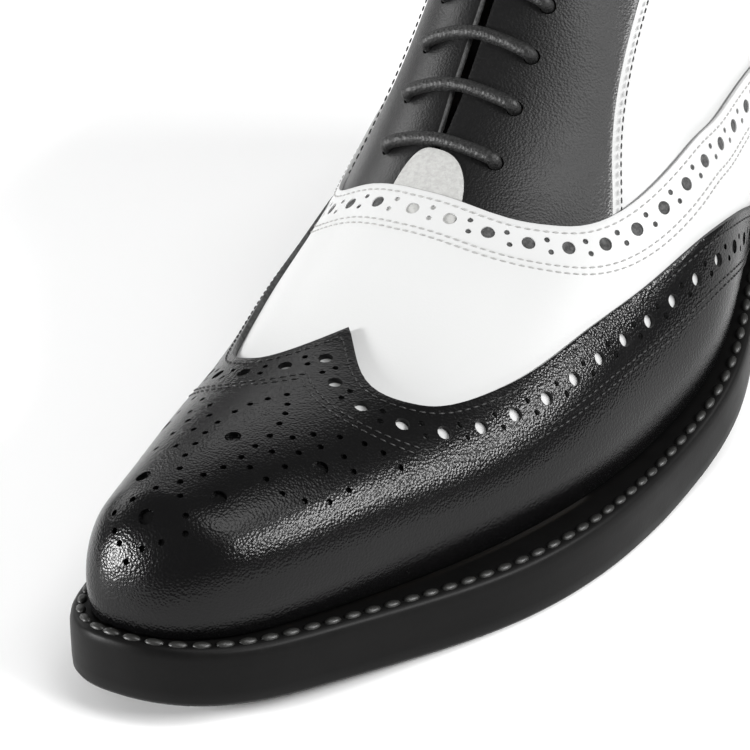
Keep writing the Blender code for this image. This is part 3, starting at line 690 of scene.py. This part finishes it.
def makeLace():
    over = pattern["eyestayLift"] + laceWay["thick"] / 2
    pressed = over - laceWay["pressed"]
    under = -1.85 - 2.0 - 1.3 - 0.35
    reach = laceWay["reach"]
    curve = bpy.data.curves.new("laceCord", "CURVE")
    curve.dimensions = "3D"
    curve.bevel_depth = laceWay["thick"] / 2 * mm
    curve.bevel_resolution = 5
    curve.use_fill_caps = True
    knots = []
    for row in range(len(laceWay["rows"])):
        start = 1 if row % 2 == 0 else -1
        for side, lift, where in ((start, under, reach), (start, over - 1.0, reach), (start, over, reach - 1.2),
                                  (start, pressed, reach * 0.5), (start, pressed, 0.0), (-start, pressed, reach * 0.5),
                                  (-start, over, reach - 1.2), (-start, over - 1.0, reach), (-start, under, reach)):
            knots.append(lacePoint(row, side, lift, where))
    line = curve.splines.new("POLY")
    path = roundCorners(knots)
    line.points.add(len(path) - 1)
    for point, knot in zip(line.points, path):
        point.co = (*(Vector(knot) * mm), 1)
    made = bpy.data.objects.new("lacePath", curve)
    bpy.context.scene.collection.objects.link(made)
    mesh = bpy.data.meshes.new_from_object(made.evaluated_get(bpy.context.evaluated_depsgraph_get()))
    piece = bpy.data.objects.new("laceCord", mesh)
    bpy.data.objects.remove(made)
    bpy.context.scene.collection.objects.link(piece)
    mesh.materials.clear()
    mesh.materials.append(looks["lace"])
    mesh.shade_smooth()
    return piece


def roundCorners(knots, turns=3):  # corner cutting, ends kept
    path = np.array(knots, float)
    for _ in range(turns):
        a, b = path[:-1], path[1:]
        inner = np.stack([a * 0.75 + b * 0.25, a * 0.25 + b * 0.75], 1).reshape(-1, 3)
        path = np.vstack([path[:1], inner, path[-1:]])
    return path


# Sole, welt seam and heel. Profiles are (out from the edge, height) pairs from the underside up.
sole = {
    "ring": ((-7.0, 0.0), (-1.6, 0.0), (-0.7, 0.25), (-0.1, 1.1), (0.0, 3.5), (0.0, 8.0), (-0.05, 10.4),
             (-0.35, 11.9), (-1.0, 12.75), (-1.9, 13.0), (-4.0, 12.95), (-9.5, 12.6)),
    "stations": 150, "weltPitch": 4.5, "weltRow": -2.3, "bead": (3.9, 2.0, 1.5),
}


def soleStations():
    s = np.linspace(0, 1, sole["stations"])
    ats = np.concatenate([255.0 * s**1.6, 255 + 48 * np.linspace(0, 1, 34)[1:]])
    return ats


def featherPlan(ats):
    lines = []
    for side in (1, -1):
        x, y, _ = halfSection(ats, np.zeros(len(ats)), side)
        lines.append(np.column_stack([x, y]))
    return np.concatenate([lines[0], lines[1][::-1][1:-1]]), np.concatenate([ats, ats[::-1][1:-1]])


def movedOut(plan, distances):
    ahead, behind = np.roll(plan, -1, 0) - plan, plan - np.roll(plan, 1, 0)
    ahead /= np.linalg.norm(ahead, axis=1)[:, None]
    behind /= np.linalg.norm(behind, axis=1)[:, None]
    run = ahead + behind
    run /= np.linalg.norm(run, axis=1)[:, None]
    return plan + np.column_stack([run[:, 1], -run[:, 0]]) * np.asarray(distances, float)[:, None]


def solePlan():
    plan, stations = featherPlan(soleStations())
    return plan, stations


def soleRing(out, height):
    plan, stations = solePlan()
    line = movedOut(plan, marginLine(np.clip(stations, 0, heelEnd)) + out)
    return np.column_stack([line - lastSizes["middle"], ground(line[:, 1]) + height])


def loft(name, rings, material, sharp):  # closed solid from rings of points, low to high
    shape = bmesh.new()
    bands = [[shape.verts.new(Vector(p) * mm) for p in ring] for ring in rings]
    edges = [[shape.edges.new((band[i], band[(i + 1) % len(band)])) for i in range(len(band))] for band in bands]
    for low, high in zip(edges, edges[1:]):
        bmesh.ops.bridge_loops(shape, edges=low + high)
    bmesh.ops.triangle_fill(shape, edges=edges[0], use_beauty=True)
    bmesh.ops.triangle_fill(shape, edges=edges[-1], use_beauty=True)
    bmesh.ops.recalc_face_normals(shape, faces=shape.faces)
    piece = newPiece(name, shape, material)
    piece.data.set_sharp_from_angle(angle=math.radians(sharp))
    return piece


heel = {
    "breast": 208.0, "hollow": 5.0, "top": 25.4,
    "cap": ((-4.0, 0.0), (-2.4, 0.0), (-1.8, 0.7), (-1.6, 1.6), (-1.6, 5.7), (-1.9, 6.0), (-4.0, 6.1)),
    "stack": ((-4.0, 6.1), (-1.9, 6.2), (-1.6, 6.5), (-1.5, 10.9), (-1.75, 11.1), (-1.45, 11.3), (-1.2, 15.7),
              (-1.45, 15.9), (-1.15, 16.1), (-0.8, 20.5), (-1.05, 20.7), (-0.7, 20.9), (-0.3, 25.4), (-4.0, 25.4)),
}


def heelRing(out, height):
    plan, stations = solePlan()
    line = movedOut(plan, marginLine(stations) + out)[stations >= heel["breast"]]
    part = np.linspace(0, 1, 26)[1:-1, None]
    breast = line[-1] + (line[0] - line[-1]) * part + np.sin(part * math.pi) * (0.0, heel["hollow"])
    line = np.vstack([line, breast])
    top = np.minimum(ground(line[:, 1]) - 0.3, 40.0) * height / heel["top"] if height > 20 else height + 0 * line[:, 0]
    return np.column_stack([line - lastSizes["middle"], top])


def makeWeltStitches():
    line = soleRing(sole["weltRow"], 12.98)
    loop = np.vstack([line, line[:1]])
    run = np.concatenate([[0], np.cumsum(np.linalg.norm(np.diff(loop, axis=0), axis=1))])
    marks = np.arange(0, run[-1], sole["weltPitch"])
    spots = np.column_stack([np.interp(marks, run, loop[:, i]) for i in range(3)])
    ahead = np.column_stack([np.interp((marks + 1) % run[-1], run, loop[:, i]) for i in range(3)])
    places = []
    for here, there in zip(spots, ahead):
        x = Vector(there - here).normalized()
        y = Vector((0, 0, 1)).cross(x).normalized()
        turn = Matrix((x, y, x.cross(y))).transposed().to_4x4()
        places.append(Matrix.Translation(Vector(here) * mm) @ turn @ Matrix.Diagonal((*sole["bead"], 1)))
    return scatter("weltStitches", bead(10, 6), places, looks["weltThread"])


# Punched pattern. Medallion rows are (at, distance from the ridge, + outer side).
perforation = {
    "big": 3.0, "small": 1.3, "medallionBig": 3.3, "medallionSmall": 1.35, "pairSide": 1.4, "pairAlong": 0.35,
}
medallionBig = ((33.1, -0.7), (41.5, -24.4), (36.1, 17.1), (17.4, -8.6), (17.3, 8.5), (8.3, 0.2))
medallionSmall = (
    (47.2, -18.0), (50.2, -22.7), (43.5, -13.4), (52.4, -28.1), (42.2, -17.6), (45.9, -23.9), (39.2, -10.5),
    (37.9, -14.9), (36.7, -6.8), (33.8, -10.3), (32.7, -6.7), (41.2, -5.9), (44.6, -4.6), (47.6, -2.5), (50.6, 0.0),
    (47.6, 2.0), (44.6, 3.4), (41.1, 4.3), (36.8, 5.0), (38.9, 8.7), (42.3, 11.2), (45.4, 15.3), (47.8, 19.6),
    (40.4, 14.1), (49.2, 23.4), (36.1, 12.0), (33.0, 8.1), (32.6, 4.7), (41.9, 18.6), (31.3, 12.3), (40.8, 21.9),
    (49.9, 27.7), (28.4, 4.7), (26.9, 7.7), (26.4, 11.8), (24.2, 3.9), (20.6, 2.4), (26.0, 15.9), (28.2, 19.7),
    (32.2, 22.9), (37.1, 23.7), (33.3, -15.1), (27.7, -9.6), (28.7, -5.9), (28.4, -15.3), (24.6, -5.0),
    (20.5, -2.8), (36.7, -25.9), (30.0, -21.8), (17.0, 0.2), (13.8, -2.5), (10.7, -4.9), (13.7, 3.0), (10.8, 6.8),
    (8.6, 8.7), (8.5, -7.3), (5.9, -4.9), (4.5, -2.6), (3.0, 0.0), (4.6, 2.3), (6.1, 5.4))


def bandHoles(edge, row, pitch, reach):  # big holes and slanted small pairs between them
    big, small = [], []
    middle = inFront(edge, row, -reach, reach)
    rims = {sign: inFront(edge, row + perforation["pairSide"] * sign, -reach, reach) for sign in (1, -1)}
    for side in (1, -1):
        path = middle[middle[:, 1] * side >= 0][::side]
        big += [(at, u, perforation["big"]) for at, u in evenly(path, pitch, 0.0 if side > 0 else pitch)]
        for sign, rim in rims.items():
            between = evenly(path, pitch, pitch / 2 + perforation["pairAlong"] * sign)
            rimPoints = skin(rim[:, 0], rim[:, 1])
            for point in skin(between[:, 0], between[:, 1]):
                gaps = np.linalg.norm(rimPoints - point, axis=1)
                if gaps.min() < perforation["pairSide"] * 1.3:
                    small.append((*rim[np.argmin(gaps)], perforation["small"]))
    return big + small


def medallion():
    rows = [(at, ridgeShare(at, d), perforation["medallionBig"]) for at, d in medallionBig]
    return rows + [(at, ridgeShare(at, d), perforation["medallionSmall"]) for at, d in medallionSmall]


# The shoe is put together: sheets, holes, seams, then the solid pieces
quarters = makeQuarters()
eyestays, meets = {}, {}
for side in (1, -1):
    eyestays[side], meets[side] = makeEyestay(side)
counter = makeCounter()
vamp = makeVamp()
wing = makeWing()
throatTab = makeTab()
# dark sheets of painted shade under the band's holes, one each side of the tab
paintedHoleShades = [makePaintedHoleShade(side) for side in (1, -1)]
tongueLeather = makeTongue()
print("sheets made")

punch(wing, medallion(), pattern["wingLift"], (1.7, 4.0), bandHoles(wingEnd, 6.0, 8.75, 0.93))
punch(vamp, [], pattern["vampLift"], (1.7, 2.6), [row for row in bandHoles(bandRow, 5.0, 8.7, 0.8)
                                              if row[0] < counterEdge(1 - abs(row[1])) - 4])
for side in (1, -1):
    punch(eyestays[side], [], -1.5, (1.0, 4.0),
          [(at, ridgeShare(at, side * laceWay["reach"]), laceWay["hole"]) for at in laceWay["rows"]])
punch(quarters, [], -2.5, (1.0, 5.0), [(at, ridgeShare(at, side * laceWay["reach"]), laceWay["hole"])
                                       for at in laceWay["rows"] for side in (1, -1)])
print("holes punched")

wingSeams = stitches("wingStitches", [inFront(wingEnd, d) for d in (1.8, 10.5, 12.0)], looks["blackThread"],
                     pattern["wingLift"] + 0.05)
bandSeams = stitches("vampStitches", [beforeCounter(inFront(bandRow, d, -0.82, 0.82)) for d in (1.7, 9.5, 11.0)],
                     looks["whiteThread"], pattern["vampLift"] + 0.05)


def eyestaySeam(side, inset):
    ats = np.linspace(124, meets[side] - 6, 300)
    return shifted(np.column_stack([ats, side * (1 - eyestayRear[side](ats))]), -side * inset)


facingSeams = stitches("eyestayStitches", [eyestaySeam(side, 2.0) for side in (1, -1)], looks["blackThread"],
                       pattern["eyestayLift"] + 0.05)


def counterSeam(inset):
    paths = []
    for side in (1, -1):
        shares = np.linspace(0.02, 0.47, 300)
        path = shifted(np.column_stack([counterEdge(shares), side * (1 - shares)]), -side * inset)
        paths.append(path[1 - np.abs(path[:, 1]) < opening(path[:, 0], side) - 0.03])
    return paths


counterSeams = stitches("counterStitches", counterSeam(2.0) + counterSeam(3.6), looks["blackThread"],
                        pattern["counterLift"] + 0.05)


def collarSeam(side, inset):
    ats = np.linspace(176, 256.0, 500)
    return shifted(np.column_stack([ats, side * (1 - opening(ats, side))]), -side * inset)


collarSeams = stitches("collarStitches", [collarSeam(side, 2.2) for side in (1, -1)], looks["whiteThread"],
                       pattern["quarterLift"] + 0.05)
laceCord = makeLace()
soleAndWelt = loft("soleAndWelt", [soleRing(*row) for row in sole["ring"]], looks["sole"], 60)
weltStitches = makeWeltStitches()

heelStack = loft("heelStack", [heelRing(*row) for row in heel["stack"]], looks["heel"], 40)
heelTopPiece = loft("heelTopPiece", [heelRing(*row) for row in heel["cap"]], looks["cap"], 40)
for place in bpy.data.objects["insole"].material_slots:
    place.material = looks["insole"]

finish(quarters, "white_leather", "upper")
finish(vamp, "white_leather", "vamp")
finish(wing, "black_leather", "wing_cap")
finish(counter, "black_leather", "heel_counter")
finish(eyestays[1], "black_leather", "eyestay_outer")
finish(eyestays[-1], "black_leather", "eyestay_inner")
finish(tongueLeather, "black_leather", "tongue")
finish(throatTab, "white_leather")
for shadeSheet in paintedHoleShades:
    finish(shadeSheet, "lining_leather")
finish(laceCord, "waxed_cord", "lace")
finish(soleAndWelt, "sole_leather", "outsole", "welt")
finish(weltStitches, "waxed_cord")
finish(heelStack, "sole_leather", "heel_block")
finish(heelTopPiece, "heel_rubber", "heel_cap")
for piece, slotName in ((wingSeams, "black_leather"), (bandSeams, "white_leather"), (facingSeams, "black_leather"),
                        (counterSeams, "black_leather"), (collarSeams, "white_leather")):
    finish(piece, slotName)


# Floor, light and camera
studio = {
    "floor": 6.0, "world": 0.22,
    "lamps": (("overhead", (0.50, -0.10, 1.20), (0.0, -0.03, 0.06), (0.62, 0.62), 6.0),
              ("rightStrip", (1.05, 0.12, 0.70), (0.02, -0.10, 0.035), (1.0, 0.10), 20.0),
              ("frontLeft", (-0.72, -0.85, 0.26), (0.0, -0.13, 0.035), (0.35, 0.20), 17.0),
              ("backLeft", (-0.62, 0.95, 0.85), (0.0, -0.08, 0.04), (0.9, 0.5), 2.2),
              ("left", (-1.05, 0.15, 0.48), (0.0, -0.11, 0.04), (0.8, 0.35), 2.6)),
}


def makeFloor():
    shape = bmesh.new()
    bmesh.ops.create_grid(shape, x_segments=2, y_segments=2, size=studio["floor"] / 2)
    look = Look("studioFloor", Specular_IOR_Level=0.2)
    tint = look.noise(3.0, 2.0)
    look.put("Base Color", look.mix(tint, (0.95, 0.95, 0.95), (0.965, 0.965, 0.965)))
    look.put("Roughness", 0.7 + tint * 0.1)
    floor = newPiece("studioFloor", shape, look.material)


def areaLight(name, where, target, size, power, shape="RECTANGLE"):
    lamp = bpy.data.lights.new(name, "AREA")
    lamp.shape = shape
    lamp.size, lamp.size_y = size
    lamp.energy = power
    made = bpy.data.objects.new(name, lamp)
    bpy.context.scene.collection.objects.link(made)
    made.location = where
    made.rotation_euler = (Vector(target) - Vector(where)).to_track_quat("-Z", "Y").to_euler()


def makeLights():
    world = bpy.data.worlds.new("studioAir")
    bpy.context.scene.world = world
    world.use_nodes = True
    world.node_tree.nodes["Background"].inputs["Color"].default_value = (1, 1, 1, 1)
    world.node_tree.nodes["Background"].inputs["Strength"].default_value = studio["world"]
    for row in studio["lamps"]:
        areaLight(*row)


shot = {
    "az": 31.63, "el": 28.04, "roll": -0.9, "distance": 653.02, "focal": 3346.16,
    "target": (12.6, -83.24, 50.01), "frame": 750.0,
}


def makeCamera():
    az, el, roll = (math.radians(shot[key]) for key in ("az", "el", "roll"))
    back = Vector((math.sin(az) * math.cos(el), -math.cos(az) * math.cos(el), math.sin(el)))
    right = Vector((0, 0, 1)).cross(back).normalized()
    up = back.cross(right)
    right, up = right * math.cos(roll) + up * math.sin(roll), up * math.cos(roll) - right * math.sin(roll)
    lens = bpy.data.cameras.new("photoView")
    lens.sensor_width = 36.0
    lens.lens = shot["focal"] / shot["frame"] * 36.0
    lens.clip_start, lens.clip_end = 0.01, 20.0
    made = bpy.data.objects.new("photoView", lens)
    bpy.context.scene.collection.objects.link(made)
    made.matrix_world = (Matrix.Translation((Vector(shot["target"]) + back * shot["distance"]) * mm)
                         @ Matrix((right, up, back)).transposed().to_4x4())
    bpy.context.scene.camera = made


makeFloor()
makeLights()
bpy.context.scene.view_settings.view_transform = "Standard"
makeCamera()
print("floor, lights and camera set")
